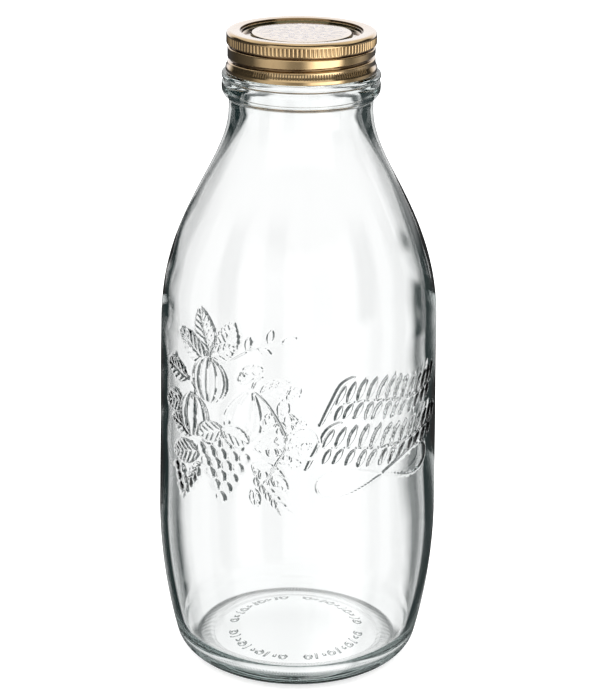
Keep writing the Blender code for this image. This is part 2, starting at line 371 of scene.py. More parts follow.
# The ridges are deeper and further apart than real ones, which would be too fine to show
RIDGES = COLUMNS
RIDGE_DEPTH = 0.00045
DOME_ROWS = 14


def ridged(radius, base_height, share):
    """A row across the fine ridges that the mould's plate presses into the bearing ring."""
    half = RIDGE_DEPTH * share * 0.5
    return ring(4 * RIDGES, lambda angle: (radius, base_height + half - half * math.cos(RIDGES * angle)))


rows = even_rows(COLUMNS, dome(contact_inner, 0, PUSH_UP, DOME_ROWS)[:-1])
for inward, share in ((0.0022, 0.0), (0.0018, 1.0), (0.0, 1.0)):
    rise = PUSH_UP * (1 - ((contact_inner - inward) / contact_inner) ** 2)
    rows.append(ridged(contact_inner - inward, rise, share))
rows += [ridged(contact_inner + CONTACT_WIDTH * outward, 0.0, 1.1) for outward in (0.5, 0.9)]
rows += [ridged(*spot, share) for spot, share in zip(heel_and_belly[1:4], (1.0, 0.8, 0.0))]
body_rows = [spot[1] for spot in heel_and_belly[4:]]
body_rows += [BELLY_HEIGHT + (PATCH_LOW - BELLY_HEIGHT) * step / 3 for step in (1, 2)]
lowest_patch_row = len(rows) + len(body_rows)
body_rows += patch_heights
body_rows += [patch_top + (NECK_FOOT - patch_top) * step / ROWS_ABOVE for step in range(1, ROWS_ABOVE + 1)]
for at_height in body_rows:
    rows.append(ring(COLUMNS, lambda angle, at=at_height: (float(outside_radius(angle, at)), at)))


def beaded_collar():
    """The collar's outline, going up: a full round bead, a shallow notch and a thin lip over it."""
    notch = COLLAR_RADIUS - NOTCH_DEPTH
    notch_height = COLLAR_TOP - LIP_HEIGHT

    def reach(edge, rounding):
        return math.acos((edge - COLLAR_RADIUS + rounding) / rounding)

    bead_start = reach(NECK_RADIUS, BEAD_BOTTOM_ROUND)
    bead_end = reach(notch, BEAD_TOP_ROUND)
    lip_start = reach(notch, LIP_ROUND)
    bead_low = (COLLAR_RADIUS - BEAD_BOTTOM_ROUND, COLLAR_FOOT + BEAD_BOTTOM_ROUND * math.sin(bead_start))
    bead_high = (COLLAR_RADIUS - BEAD_TOP_ROUND, notch_height - BEAD_TOP_ROUND * math.sin(bead_end))
    lip_low = (COLLAR_RADIUS - LIP_ROUND, notch_height + LIP_ROUND * math.sin(lip_start))
    lip_high = (COLLAR_RADIUS - COLLAR_TOP_ROUND, COLLAR_TOP - COLLAR_TOP_ROUND)
    bead_middle = [(COLLAR_RADIUS, (bead_low[1] + bead_high[1]) / 2)]
    return (
        arc(bead_low, BEAD_BOTTOM_ROUND, -math.degrees(bead_start) + 4, 0, 9)
        + bead_middle
        + arc(bead_high, BEAD_TOP_ROUND, 0, math.degrees(bead_end) - 3, 7)
        + arc(lip_low, LIP_ROUND, 3 - math.degrees(lip_start), 0, 7)
        + arc(lip_high, COLLAR_TOP_ROUND, 0, 90, 5)
    )


THREAD_RISE = 0.00115
THREAD_PITCH = 0.0036
THREAD_MIDDLE = RIM - 0.0054
THREAD_ROOT_HALF = 0.0009
THREAD_CREST_HALF = 0.0003
THREAD_CENTRE = math.radians(-90)
THREAD_FULL_HALF = math.radians(140)
THREAD_END_HALF = math.radians(160)


def helix(angle):
    """Turns from the thread's middle, and how full the thread is there, from 0 to 1."""
    away = (angle - THREAD_CENTRE + math.pi) % math.tau - math.pi
    if abs(away) <= THREAD_END_HALF:
        turns = away / math.tau
    else:
        back = (math.pi - abs(away)) / (math.pi - THREAD_END_HALF)
        turns = math.copysign(THREAD_END_HALF, away) * back / math.tau
    fullness = (THREAD_END_HALF - abs(away)) / (THREAD_END_HALF - THREAD_FULL_HALF)
    return turns, min(max(fullness, 0), 1)


def thread_spot(share):
    """Where the thread's outline is at each angle, share going from -1 at its foot to 1 at its head."""
    rise = ease(min((1 - abs(share)) * THREAD_ROOT_HALF / (THREAD_ROOT_HALF - THREAD_CREST_HALF), 1))

    def place(angle):
        turns, fullness = helix(angle)
        at_height = THREAD_MIDDLE + THREAD_PITCH * turns + THREAD_ROOT_HALF * share
        return FINISH_RADIUS + THREAD_RISE * fullness * rise, at_height
    return place


FINISH_FILLET = 0.0006
collar = [(NECK_RADIUS, COLLAR_FOOT - 0.0004)] + beaded_collar()
collar += arc((FINISH_RADIUS + FINISH_FILLET, COLLAR_TOP + FINISH_FILLET), FINISH_FILLET, 270, 180, 3)
rows += even_rows(COLUMNS, collar)
rows += [ring(COLUMNS, thread_spot(share / 4)) for share in range(-4, 5)]
rim = arc((FINISH_RADIUS - RIM_ROUND, RIM - RIM_ROUND), RIM_ROUND, 0, 90, 5)
rim += arc((MOUTH_RADIUS + RIM_ROUND, RIM - RIM_ROUND), RIM_ROUND, 90, 180, 5)
rows += even_rows(COLUMNS, rim)

inside_top = (BODY_RADIUS - BODY_TAPER - GLASS_WALL, SHOULDER_FOOT)
inside = lower_body(GLASS_WALL, BASE_WALL, INNER_HEEL_RADIUS, 12, 16)
inside += [(inside[-1][0] + (inside_top[0] - inside[-1][0]) * k / 16,
            BELLY_HEIGHT + (SHOULDER_FOOT - BELLY_HEIGHT) * k / 16) for k in range(1, 16)]
inside += s_curve(inside_top, (MOUTH_RADIUS, NECK_FOOT), SHOULDER_FULLNESS, INNER_NECK_FLARE, 36)
inside += [(MOUTH_RADIUS, COLLAR_FOOT), (MOUTH_RADIUS, COLLAR_TOP)]
for radius, at_height in inside[::-1]:
    rows.append(ring(COLUMNS // 2, lambda angle, r=radius, at=at_height:
                     (r + GLASS_WALL - float(wall(angle, at)), at)))
rows += even_rows(COLUMNS // 2, dome(inside[0][0], BASE_WALL, PUSH_UP, 12)[-2::-1])
# Between these rows of the dome lies the patch that holds the marks in the base
BASE_MARK_ROWS = (7, 11)
for place, (one, other) in enumerate(zip(rows, rows[1:])):
    in_patch = lowest_patch_row <= place < lowest_patch_row + PATCH_ROWS
    in_marks = BASE_MARK_ROWS[0] <= place < BASE_MARK_ROWS[1]
    bridge(one, other, PATCH_COLUMNS if in_patch else range(COLUMNS) if in_marks else range(0))
for row, pole_height in ((rows[0], PUSH_UP), (rows[-1], BASE_WALL + PUSH_UP)):
    pole = glass.verts.new((0, 0, pole_height))
    for step in range(len(row)):
        glass.faces.new((pole, row[step], row[(step + 1) % len(row)]))

# The picture, laid out flat in millimetres: across is along the glass from the front, up is the height
across, up = np.meshgrid(
    (np.arange(len(PATCH_COLUMNS) * CUTS + 1) / CUTS + PATCH_COLUMNS[0] - COLUMNS * 3 / 4)
    * math.tau * BODY_RADIUS * 1000 / COLUMNS,
    1000 * (PATCH_LOW + PATCH_ROW * np.arange(PATCH_ROWS * CUTS + 1) / CUTS),
)
relief = np.zeros_like(across)
HARVEST = (8, 10)
RELIEF_DEPTH = 0.5
EDGE = 0.6


def raise_shape(distance, depth=RELIEF_DEPTH, edge=EDGE, cut=0.0, moat=0.45):
    """Stands a shape out of the glass: distance is from its outline, less than 0 inside, all in mm."""
    global relief
    rise = np.sin(np.pi / 2 * np.clip(-distance / edge, 0, 1))
    clear = np.clip(distance / moat, 0, 1)
    relief = relief * ease(clear) + (depth - cut) * rise * (distance < 0)


def heading(degrees):
    """The cosine and the sine of an angle in degrees."""
    return math.cos(math.radians(degrees)), math.sin(math.radians(degrees))


def turned_to(base, degrees):
    """Places along and beside a line that leaves base at this angle."""
    c, s = heading(degrees)
    x, y = across - base[0], up - base[1]
    return x * c + y * s, y * c - x * s


def leaf(base, degrees, length, half_width, veins=True, depth=RELIEF_DEPTH, edge=EDGE):
    """A pointed leaf, with a groove for its midrib and one for each side vein."""
    along, beside = turned_to(base, degrees)
    bow = (length * length / 4 + half_width * half_width) / (2 * half_width)
    distance = np.hypot(along - length / 2, np.abs(beside) + bow - half_width) - bow
    groove = 0.0
    if veins:
        groove = 0.75 * depth * np.exp(-((beside / 0.42) ** 2))
        side = np.abs((along - 0.9 * np.abs(beside)) / 2.6 % 1 - 0.5) * 2.6
        groove = np.maximum(groove, 0.55 * depth * np.exp(-((side / 0.36) ** 2)))
    raise_shape(distance, depth, edge, groove)


def fruit(centre, radius, taper=0.0, degrees=90.0, depth=RELIEF_DEPTH, ribs=0):
    """A round fruit, narrower at one end if it tapers, with grooves between its ribs."""
    along, beside = turned_to(centre, degrees)
    width = radius * (1 - taper * np.clip(along / radius, -0.4, 2.2) / 2.2)
    reach = radius * (1 + 0.8 * taper)
    distance = (np.hypot(along / reach, beside / np.maximum(width, 0.5)) - 1) * radius * 0.85
    groove = 0.0
    if ribs:
        bulge = width * np.sqrt(np.clip(1 - (along / reach) ** 2, 0.02, 1))
        rib = (np.arcsin(np.clip(beside / bulge, -1, 1)) / np.pi + 0.5) * ribs
        groove = 0.7 * depth * np.exp(-((np.abs(rib % 1 - 0.5) - 0.5) / 0.13) ** 2)
    raise_shape(distance, depth, 0.8, groove)


def stroke(path, width, depth=RELIEF_DEPTH, taper=True, moat=0.3):
    """A raised line along a path of points, thinning to its ends if it tapers."""
    nearest = np.full_like(across, 1e3)
    total = len(path) - 1
    for k, ((x0, y0), (x1, y1)) in enumerate(zip(path, path[1:])):
        dx, dy = x1 - x0, y1 - y0
        t = np.clip(((across - x0) * dx + (up - y0) * dy) / (dx * dx + dy * dy), 0, 1)
        half = width / 2
        if taper:
            place = (k + t) / total
            half = half * (0.35 + 0.65 * np.sqrt(np.clip(4 * place * (1 - place), 0, 1)))
        nearest = np.minimum(nearest, np.hypot(across - x0 - t * dx, up - y0 - t * dy) - half)
    raise_shape(nearest, depth, min(0.55, width / 2), moat=moat)


def curve_through(spots, steps=10):
    """A smooth path through a few places."""
    ends = [spots[0]] + list(spots) + [spots[-1]]
    path = [spots[0]]
    for a, b, c, d in zip(ends, ends[1:], ends[2:], ends[3:]):
        for k in range(1, steps + 1):
            t = k / steps
            path.append(tuple(
                0.5 * (2 * q + (r - p) * t + (2 * p - 5 * q + 4 * r - s) * t * t
                       + (3 * q - p - 3 * r + s) * t**3)
                for p, q, r, s in zip(a, b, c, d)))
    return path


def ear(base, degrees, grains, lean=28):
    """An ear of grain: a stalk with a grain to each side in turn and a long beard on each grain."""
    c, s = heading(degrees)
    stroke([base, (base[0] + c * grains * 1.7, base[1] + s * grains * 1.7)], 0.8)
    for k in range(grains):
        spot = (base[0] + c * (1 + 1.7 * k), base[1] + s * (1 + 1.7 * k))
        turn = degrees + (lean if k % 2 else -lean)
        x, y = heading(turn * 0.6 + degrees * 0.4)
        stroke([spot, (spot[0] + 7.5 * x, spot[1] + 7.5 * y)], 0.5, 0.3)
        leaf(spot, turn, 4.4, 1.05, veins=False, edge=0.6)


# The left half: an orchard harvest of our own, from the back to the front
across, up = across - HARVEST[0], up - HARVEST[1]
stroke(curve_through([(-34, 121), (-24, 127), (-12, 130)]), 0.9)
for base, degrees in (((-27, 125.5), 80), ((-23, 127.5), -20), ((-19, 129), 75), ((-14, 130), 20)):
    leaf(base, degrees, 6, 1.4, veins=False)
for base, degrees, length, half_width in (
    ((-41, 119), 112, 21, 5.2), ((-43, 118), 150, 19, 4.8), ((-38, 119), 72, 18, 4.6),
    ((-54, 110), 168, 15, 4.2), ((-56, 101), 196, 14, 4.0), ((-22, 110), 24, 13, 3.8),
    ((-20, 102), -6, 13, 3.6), ((-47, 84), 196, 17, 4.6), ((-50, 90), 170, 15, 4.0),
    ((-24, 90), 8, 15, 4.0), ((-25, 84), -28, 15, 4.2),
):
    leaf(base, degrees, length, half_width)
ear((-46, 80), 232, 8)
ear((-24, 80), -50, 8)
for base, degrees, length, half_width in (
    ((-21, 96), 60, 10, 2.6), ((-16, 93), 20, 9, 2.4), ((-15, 86), -8, 9, 2.3), ((-17, 81), -50, 9, 2.3),
    ((-14, 101), 80, 9, 2.4), ((-10, 97), 40, 7, 2.0), ((-9, 91), 10, 7, 1.9), ((-24, 75), -80, 8, 2.2),
    ((-12, 108), 50, 8, 2.2), ((-30, 113), 50, 10, 2.7), ((-29, 118), 12, 9, 2.4),
):
    leaf(base, degrees, length, half_width)
for centre, radius in (
    ((-14, 97), 1.9), ((-11.5, 101.5), 1.7), ((-17, 89), 1.8), ((-12, 87), 1.6), ((-20, 80), 1.7),
):
    fruit(centre, radius)
stroke(curve_through([(-26, 112), (-20, 108), (-14, 99), (-12, 92), (-16, 84), (-20, 76)]), 1.0)
fruit((-51, 97), 8.2, ribs=5)
fruit((-28, 101), 7.4, taper=0.55, degrees=74, ribs=3)
fruit((-43, 112), 8.6, ribs=6)
stroke(curve_through([(-42, 119), (-42.5, 122.5), (-41, 125)]), 1.2)
stroke(curve_through([(-24.8, 112), (-23.5, 115), (-21, 117)]), 1.1)
leaf((-42, 121), 28, 12, 3.2)
stroke(curve_through([(-51, 103.5), (-50, 107), (-52, 109)]), 1.0)


def berry(x, y, radius, edge):
    raise_shape(np.hypot(across - x, up - y) - radius, RELIEF_DEPTH, edge, moat=0.4)


BERRY = 2.35
for row, count in enumerate((3, 4, 5, 4, 3, 2, 1)):
    for k in range(count):
        berry(-37 + (k - (count - 1) / 2) * 2 * BERRY, 93.5 - row * 1.75 * BERRY, BERRY, 1.15)
leaf((-36, 95), 200, 13, 4.0)
leaf((-37, 95), -16, 12, 3.8)
for k in range(5):
    berry(-61 + 4.1 * (k % 2) + 1.4 * (k // 2), 74 - 3.6 * (k // 2), 1.8, 1.0)

across, up = across + HARVEST[0], up + HARVEST[1]

# The right half: two level garlands of narrow slanted leaves over a spiral and a looped scroll
for x, y, length, first in ((11, 116, 53, 0), (6, 99.5, 60, 1)):
    garland = [(x + length * t, y + 1.3 * math.sin(first + t * 7) - 1.5 * t) for t in np.linspace(0, 1, 40)]
    stroke(garland, 1.1, 0.4)
    for k in range(2, 39, 3):
        size = 1.15 - 0.3 * abs(k - 16) / 20
        leaf(garland[k], 62 + 4 * math.sin(k * 1.7 + first), 9.0 * size, 1.25 * size, False, 0.6, 0.5)
        leaf(garland[k - 1], 240 + 4 * math.cos(k * 1.3), 7.0 * size, 1.15 * size, False, 0.6, 0.5)
    stroke(curve_through([(x - 3, y - 7), (x + 1, y + 1), (x + 5, y + 8), (x + 10, y + 10.5)]), 1.9, 0.6)
spiral = []
for t in np.linspace(0, 9.4, 60):
    spiral.append((3.2 + (0.8 + 0.68 * t) * math.cos(t + 0.4), 101.5 + (1.0 + 0.86 * t) * math.sin(t + 0.4)))
stroke(spiral, 1.0, 0.28, moat=0.2)
loops = []
for t in np.linspace(0, math.tau, 90):
    x, y = 26 * math.sin(t + 0.5), 5.2 * math.sin(2 * t + 1.0)
    loops.append((33 + x, 87.5 + y + x * 0.06))
stroke(loops, 1.1, 0.34, taper=False, moat=0.2)


def kept_points(field, tolerance):
    """The points of a fine grid that its shape needs: few where it is smooth, all of them on edges."""
    keep = np.zeros(field.shape, bool)
    keep[::CUTS, ::CUTS] = True
    step = CUTS
    while step > 1:
        a, b = field[:-step:step, :-step:step], field[:-step:step, step::step]
        c, d = field[step::step, :-step:step], field[step::step, step::step]
        error = np.zeros_like(a)
        for i in range(step + 1):
            for j in range(step + 1):
                s, t = i / step, j / step
                even = a * (1 - s) * (1 - t) + b * (1 - s) * t + c * s * (1 - t) + d * s * t
                real = field[i::step, j::step][:a.shape[0], :a.shape[1]]
                error = np.maximum(error, np.abs(real - even))
        half = step // 2
        for row, column in np.argwhere(error > tolerance) * step:
            keep[row:row + step + 1:half, column:column + step + 1:half] = True
        step = half
    return np.argwhere(keep)


def lay(field, tolerance, place):
    """Triangles over a field of heights, each point put where place says for its column, row and height."""
    spots = [Vector((column, row)) for row, column in kept_points(field, tolerance)]
    flat, _, triangles, _, _, _ = delaunay_2d_cdt(spots, [], [], 0, 1e-6, False)
    made = []
    for spot in flat:
        column, row = round(spot.x), round(spot.y)
        made.append(glass.verts.new(place(column, row, field[row, column])))
    for triangle in triangles:
        glass.faces.new([made[k] for k in triangle])


def on_the_body(column, row, rise):
    """A place on the body's patch, held inside the body's own width where the picture would stand past it."""
    angle = math.tau * (PATCH_COLUMNS[0] + column / CUTS) / COLUMNS
    at_height = PATCH_LOW + PATCH_ROW * row / CUTS
    radius = float(outside_radius(angle, at_height)) + rise / 1000
    x, y = (min(max(radius * side, -BODY_RADIUS), BODY_RADIUS) for side in (math.cos(angle), math.sin(angle)))
    return x, y, at_height


PATCH_MARGIN = 1.5
for way in (up, across):
    relief *= np.clip(np.minimum(way - way.min(), way.max() - way) / PATCH_MARGIN, 0, 1)
PICTURE_TOLERANCE = 0.105
lay(relief, PICTURE_TOLERANCE, on_the_body)

# Under the base stands a ring of plain dots, bars and rings: across is round the ring, up is outwards
DOME_STEP = contact_inner / DOME_ROWS
mark_radius = DOME_STEP * (sum(BASE_MARK_ROWS) / 2 + 1)
mark_cuts = (BASE_MARK_ROWS[1] - BASE_MARK_ROWS[0]) * CUTS
across, up = np.meshgrid(
    np.arange(COLUMNS * CUTS + 1) / CUTS * math.tau * mark_radius * 1000 / COLUMNS,
    1000 * DOME_STEP * (BASE_MARK_ROWS[0] + 1 + np.arange(mark_cuts + 1) / CUTS - mark_radius / DOME_STEP),
)
relief = np.zeros_like(across)
MARK_SPACING = 3.1
MARK_RISE = 0.5
LINE_HALF = 0.4
DOT_RADIUS = 0.9
HOOP_RADIUS = 1.15
BAR_HALF = 1.7
marks_round = int(across.max() / MARK_SPACING)
for k in range(marks_round):
    if k % 12 in (0, 11):
        continue
    along = (k + 0.5) * across.max() / marks_round
    kind = (k * 5 + k // 3) % 4
    if kind == 0:
        raise_shape(np.hypot(across - along, up) - DOT_RADIUS, MARK_RISE, 0.5)
    elif kind == 1:
        raise_shape(np.abs(np.hypot(across - along, up) - HOOP_RADIUS) - LINE_HALF, MARK_RISE, LINE_HALF)
    else:
        tilt = 0.35 * (kind - 2.5)
        beside = np.abs(across - along - tilt * up) - LINE_HALF
        raise_shape(np.maximum(beside, np.abs(up) - BAR_HALF), MARK_RISE, LINE_HALF)


def under_the_base(column, row, rise):
    """A place on the dome under the base, on the patch that holds the marks."""
    angle = math.tau * (column % (COLUMNS * CUTS)) / CUTS / COLUMNS
    share = (BASE_MARK_ROWS[0] + 1 + row / CUTS) / DOME_ROWS
    return about(contact_inner * share, angle, PUSH_UP * (1 - share * share) - rise / 1000)


def mesh_of(name, shape):
    """The mesh of a finished shape, with its faces turned outwards."""
    bmesh.ops.recalc_face_normals(shape, faces=shape.faces)
    data = bpy.data.meshes.new(name)
    shape.to_mesh(data)
    shape.free()
    return data


MARK_TOLERANCE = 0.13
lay(relief, MARK_TOLERANCE, under_the_base)
bmesh.ops.remove_doubles(glass, verts=glass.verts, dist=2e-6)
glass_mesh = mesh_of("bottle_glass", glass)
glass_mesh.shade_smooth()
bottle_glass = put("bottle_glass", glass_mesh)

# Soda-lime glass, fire-polished: perfectly smooth, and faintly blue-green where light runs far inside it
soda_lime, tree = new_material("soda_lime_glass")
glass_shader = add(tree, "ShaderNodeBsdfPrincipled", wires={
    "Base Color": WHITE, "Roughness": 0.0, "IOR": 1.52, "Transmission Weight": 1.0})
absorb = add(tree, "ShaderNodeVolumeAbsorption", wires={"Color": paint("#9cc4bf"), "Density": 9.0})
add(tree, "ShaderNodeOutputMaterial", wires={"Surface": glass_shader[0], "Volume": absorb[0]})
glass_mesh.materials.append(soda_lime)
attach(bottle_glass, "bottle")
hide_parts("glass_bottle")

# ---- The disc: tinplate stamped with a shallow pan and a raised middle panel, then gold-lacquered. It lies
# ---- loose in the band. The lacquer is clear and yellow over bright tin, so it shines white at low angles,
# and its
# ---- colour is also turned near white there as a painted sheen.

SHEET = 0.0003
_, disc_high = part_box("lid_disc")
DISC_RADIUS = disc_high[0]
DISC_TOP = disc_high[2]
PAN_RADIUS = 0.0216
PAN_WALL = 0.00015
PAN_DEPTH = 0.0011
PANEL_RADIUS = 0.0181
PANEL_WALL = 0.0004
STAMPED_ROUND = 0.00012


def rounded(corners, steps=4):
    """An outline whose corners are rounded: each corner is a radius, a height and how far to round it."""
    outline = [corners[0][:2]]
    for (ax, ay, _), (bx, by, cut), (cx, cy, _) in zip(corners, corners[1:], corners[2:]):
        if not cut:
            outline.append((bx, by))
            continue
        before, after = math.dist((ax, ay), (bx, by)), math.dist((bx, by), (cx, cy))
        start = (bx + (ax - bx) * cut / before, by + (ay - by) * cut / before)
        end = (bx + (cx - bx) * cut / after, by + (cy - by) * cut / after)
        for k in range(steps + 1):
            t = k / steps
            outline.append(tuple((1 - t) ** 2 * p + 2 * t * (1 - t) * q + t * t * r
                                 for p, q, r in zip(start, (bx, by), end)))
    return outline + [corners[-1][:2]]


def turned_piece(name, outline_at, columns, made_of, looped=True, sharp=35):
    """A solid turned about the bottle's axis, from the closed outline that outline_at gives at each angle."""
    shape = bmesh.new()
    poles = {}
    lines = []
    for step in range(columns):
        angle = math.tau * step / columns
        made = []
        for place, (radius, at_height) in enumerate(outline_at(angle)):
            if radius > 0:
                made.append(shape.verts.new(about(radius, angle, at_height)))
            else:
                made.append(poles.get(place) or poles.setdefault(place, shape.verts.new((0, 0, at_height))))
        lines.append(made)
    for left, right in zip(lines, lines[1:] + lines[:1]):
        if looped:
            left, right = left + left[:1], right + right[:1]
        for (a, b), (c, d) in zip(zip(left, left[1:]), zip(right, right[1:])):
            shape.faces.new(list(dict.fromkeys((a, c, d, b))))
    data = mesh_of(name, shape)
    data.shade_smooth()
    data.set_sharp_from_angle(angle=math.radians(sharp))
    data.materials.append(made_of)
    return put(name, data)


# Painted sheen: the near-white pink that the lacquer's colour turns to where the surface is seen at a grazing
# angle
GRAZING_SHEEN_PAINT = "#f6e4da"


def lacquered_tinplate(name, lacquer, deep, roughness):
    """Tinted lacquer over bright tin, with painted shade where the recess value is high and a painted sheen
    at grazing angles.
    """
    made, tree = new_material(name)
    where = add(tree, "ShaderNodeTexCoord")["Object"]
    recess = add(tree, "ShaderNodeAttribute", {"attribute_name": "recess"})["Fac"]
    # Lacquer flows out in swells about 4 mm long. The sheet's grain is drawn 0.3 mm wide, which is coarser
    # than it is, so that it shows
    swell = add(tree, "ShaderNodeTexNoise", wires={"Vector": where, "Scale": 250.0, "Detail": 3.0})[0]
    grain = add(tree, "ShaderNodeTexNoise", wires={"Vector": where, "Scale": 3300.0, "Detail": 2.0})[0]
    thicker = add(tree, "ShaderNodeMapRange", wires={
        "Value": swell, "From Min": 0.3, "From Max": 0.7, "To Max": 0.2})[0]
    tone = add(tree, "ShaderNodeMix", {"data_type": "RGBA"},
               {0: thicker, 6: paint(lacquer), 7: paint(deep)})[2]
    # Painted shade: the colour darkens to the deep tone where the recess value is high
    tone = add(tree, "ShaderNodeMix", {"data_type": "RGBA"}, {0: recess, 6: tone, 7: paint(deep)})[2]
    # Painted sheen: towards grazing angles the colour is mixed up to 0.8 of the way to the near-white pink
    painted_sheen = add(tree, "ShaderNodeLayerWeight", wires={"Blend": 0.5})["Facing"]
    painted_sheen = add(tree, "ShaderNodeMapRange", {"interpolation_type": "SMOOTHSTEP"}, {
        "Value": painted_sheen, "From Min": 0.55, "From Max": 0.85, "To Max": 0.8})[0]
    tone = add(tree, "ShaderNodeMix", {"data_type": "RGBA"},
               {0: painted_sheen, 6: tone, 7: paint(GRAZING_SHEEN_PAINT)})[2]
    rough = add(tree, "ShaderNodeMapRange", wires={
        "Value": swell, "From Min": 0.3, "From Max": 0.7,
        "To Min": roughness - 0.03, "To Max": roughness + 0.05})[0]
    bump = add(tree, "ShaderNodeBump", wires={"Strength": 0.2, "Distance": 0.00001, "Height": grain})[0]
    shader = add(tree, "ShaderNodeBsdfPrincipled", wires={
        "Base Color": tone, "Metallic": 1.0, "Roughness": rough, "Normal": bump,
        "Coat Weight": 1.0, "Coat Roughness": 0.08})
    add(tree, "ShaderNodeOutputMaterial", wires={"Surface": shader[0]})
    return made


def set_recess(data, depth_at):
    """Stores how much painted shade each vertex gets, from 0 to 1, mostly by how deep in a recess it lies."""
    layer = data.attributes.new("recess", "FLOAT", "POINT")
    for vertex in data.vertices:
        layer.data[vertex.index].value = depth_at(vertex.co)


# Pale gold lacquer, glossy: the flat parts shine nearly white, partly by a painted sheen, and the pan's walls
# are painted dark olive as shade
disc_gold = lacquered_tinplate("disc_gold_lacquer", "#ecd3ac", "#59522a", 0.12)
pan_floor = DISC_TOP - PAN_DEPTH
disc_face = rounded([
    (0.012, DISC_TOP, 0), (PANEL_RADIUS - PANEL_WALL, DISC_TOP, STAMPED_ROUND),
    (PANEL_RADIUS, pan_floor, STAMPED_ROUND), (PAN_RADIUS - PAN_WALL, pan_floor, STAMPED_ROUND),
    (PAN_RADIUS, DISC_TOP, STAMPED_ROUND), (DISC_RADIUS, DISC_TOP, 0),
])
middle = [(0, DISC_TOP), (0.004, DISC_TOP), (0.008, DISC_TOP)]
disc_outline = middle + disc_face + [(radius, at - SHEET) for radius, at in (middle + disc_face)[::-1]]
disc = turned_piece("stamped_disc", lambda angle: disc_outline, 192, disc_gold, looped=False)
NEAR = 0.00005


def pan_recess(spot):
    """How much painted shade lies here: most on the pan's walls, a little on its floor, none on top."""
    if spot.z >= DISC_TOP - NEAR:
        return 0.0
    return 1.0 if spot.z > pan_floor + NEAR else 0.15


set_recess(disc.data, pan_recess)
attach(disc, "lid")
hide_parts("lid_disc")

# ---- The print on the disc: a wreath of leaf outlines and berries in lilac-grey ink, drawn by one stamp
# ---- repeated round each circle. The ink lies on the lacquer a few hundredths of a millimetre thick.


def ring_tree(name):
    """A node tree that repeats the piece's own mesh round the bottle's axis."""
    tree = bpy.data.node_groups.new(name, "GeometryNodeTree")
    face = tree.interface
    face.new_socket("Stamp", in_out="INPUT", socket_type="NodeSocketGeometry")
    sockets = {}
    for label, kind in (("Count", "Int"), ("Height", "Float"), ("Start", "Float"), ("Sweep", "Float"),
                        ("Size Spread", "Float"), ("Seed", "Int")):
        sockets[label] = face.new_socket(label, in_out="INPUT", socket_type="NodeSocket" + kind).identifier
    sockets["Material"] = face.new_socket(
        "Material", in_out="INPUT", socket_type="NodeSocketMaterial").identifier
    face.new_socket("Ring", in_out="OUTPUT", socket_type="NodeSocketGeometry")
    given = add(tree, "NodeGroupInput")
    share = add(tree, "ShaderNodeMath", {"operation": "DIVIDE"},
                {0: add(tree, "GeometryNodeInputIndex")[0], 1: given["Count"]})[0]
    angle = add(tree, "ShaderNodeMath", {"operation": "MULTIPLY_ADD"},
                {0: share, 1: given["Sweep"], 2: given["Start"]})[0]
    place = add(tree, "ShaderNodeCombineXYZ", wires={2: given["Height"]})[0]
    spots = add(tree, "GeometryNodePoints", wires={"Count": given["Count"], "Position": place})[0]
    turn = add(tree, "ShaderNodeCombineXYZ", wires={2: angle})[0]
    smallest = add(tree, "ShaderNodeMath", {"operation": "SUBTRACT"},
                   {0: 1.0, 1: given["Size Spread"]})[0]
    size = add(tree, "FunctionNodeRandomValue", {"data_type": "FLOAT"},
               {"Min": smallest, "Max": 1.0, "Seed": given["Seed"]})["Value"]
    scale = add(tree, "ShaderNodeCombineXYZ", wires={0: 1.0, 1: 1.0, 2: size})[0]
    copies = add(tree, "GeometryNodeInstanceOnPoints", wires={
        "Points": spots, "Instance": given["Stamp"], "Rotation": turn, "Scale": scale})[0]
    real = add(tree, "GeometryNodeRealizeInstances", wires={0: copies})[0]
    done = add(tree, "GeometryNodeSetMaterial",
               wires={"Geometry": real, "Material": given["Material"]})[0]
    add(tree, "NodeGroupOutput", wires={"Ring": done})
    return tree, sockets


RING_TREE, RING_SOCKETS = ring_tree("ring_of_stamps")


def ring_of(name, stamp, values):
    """A plain mesh of one stamp repeated round the axis, from the tree's named inputs."""
    holder = put(name, stamp)
    repeat = holder.modifiers.new("repeat", "NODES")
    repeat.node_group = RING_TREE
    for label, value in {"Start": 0.0, "Sweep": math.tau, "Size Spread": 0.0, "Seed": 7, **values}.items():
        repeat[RING_SOCKETS[label]] = value
    graph = bpy.context.evaluated_depsgraph_get()
    graph.update()
    plain = bpy.data.meshes.new_from_object(holder.evaluated_get(graph))
    holder.modifiers.clear()
    holder.data = plain
    plain.name = name
    return holder


def skin(shape, lines, ends=False):
    """Faces round a shape, from each closed line of vertices to the next, and over both ends if asked."""
    for lower, upper in zip(lines, lines[1:]):
        for k in range(len(lower)):
            n = (k + 1) % len(lower)
            shape.faces.new((lower[k], lower[n], upper[n], upper[k]))
    if ends:
        shape.faces.new(lines[0][::-1])
        shape.faces.new(lines[-1])


def stamp_from(outlines, low, high):
    """A mesh of flat loops with upright sides, from outlines in millimetres that go anticlockwise."""
    shape = bmesh.new()
    for outer, inner in outlines:
        lines = [[shape.verts.new((x / 1000, y / 1000, z)) for x, y in outline]
                 for outline, z in ((outer, low), (outer, high), (inner, high), (inner, low))]
        skin(shape, lines + lines[:1])
    return mesh_of("stamp", shape)


def lens(base, degrees, length, half_width, count=7):
    """A leaf's outline in millimetres, anticlockwise from its base."""
    side = [(length * k / count, half_width * math.sin(math.pi * k / count) ** 0.8) for k in range(count + 1)]
    outline = [(x, -y) for x, y in side] + [(x, y) for x, y in side[-2:0:-1]]
    c, s = heading(degrees)
    return [(base[0] + x * c - y * s, base[1] + x * s + y * c) for x, y in outline]


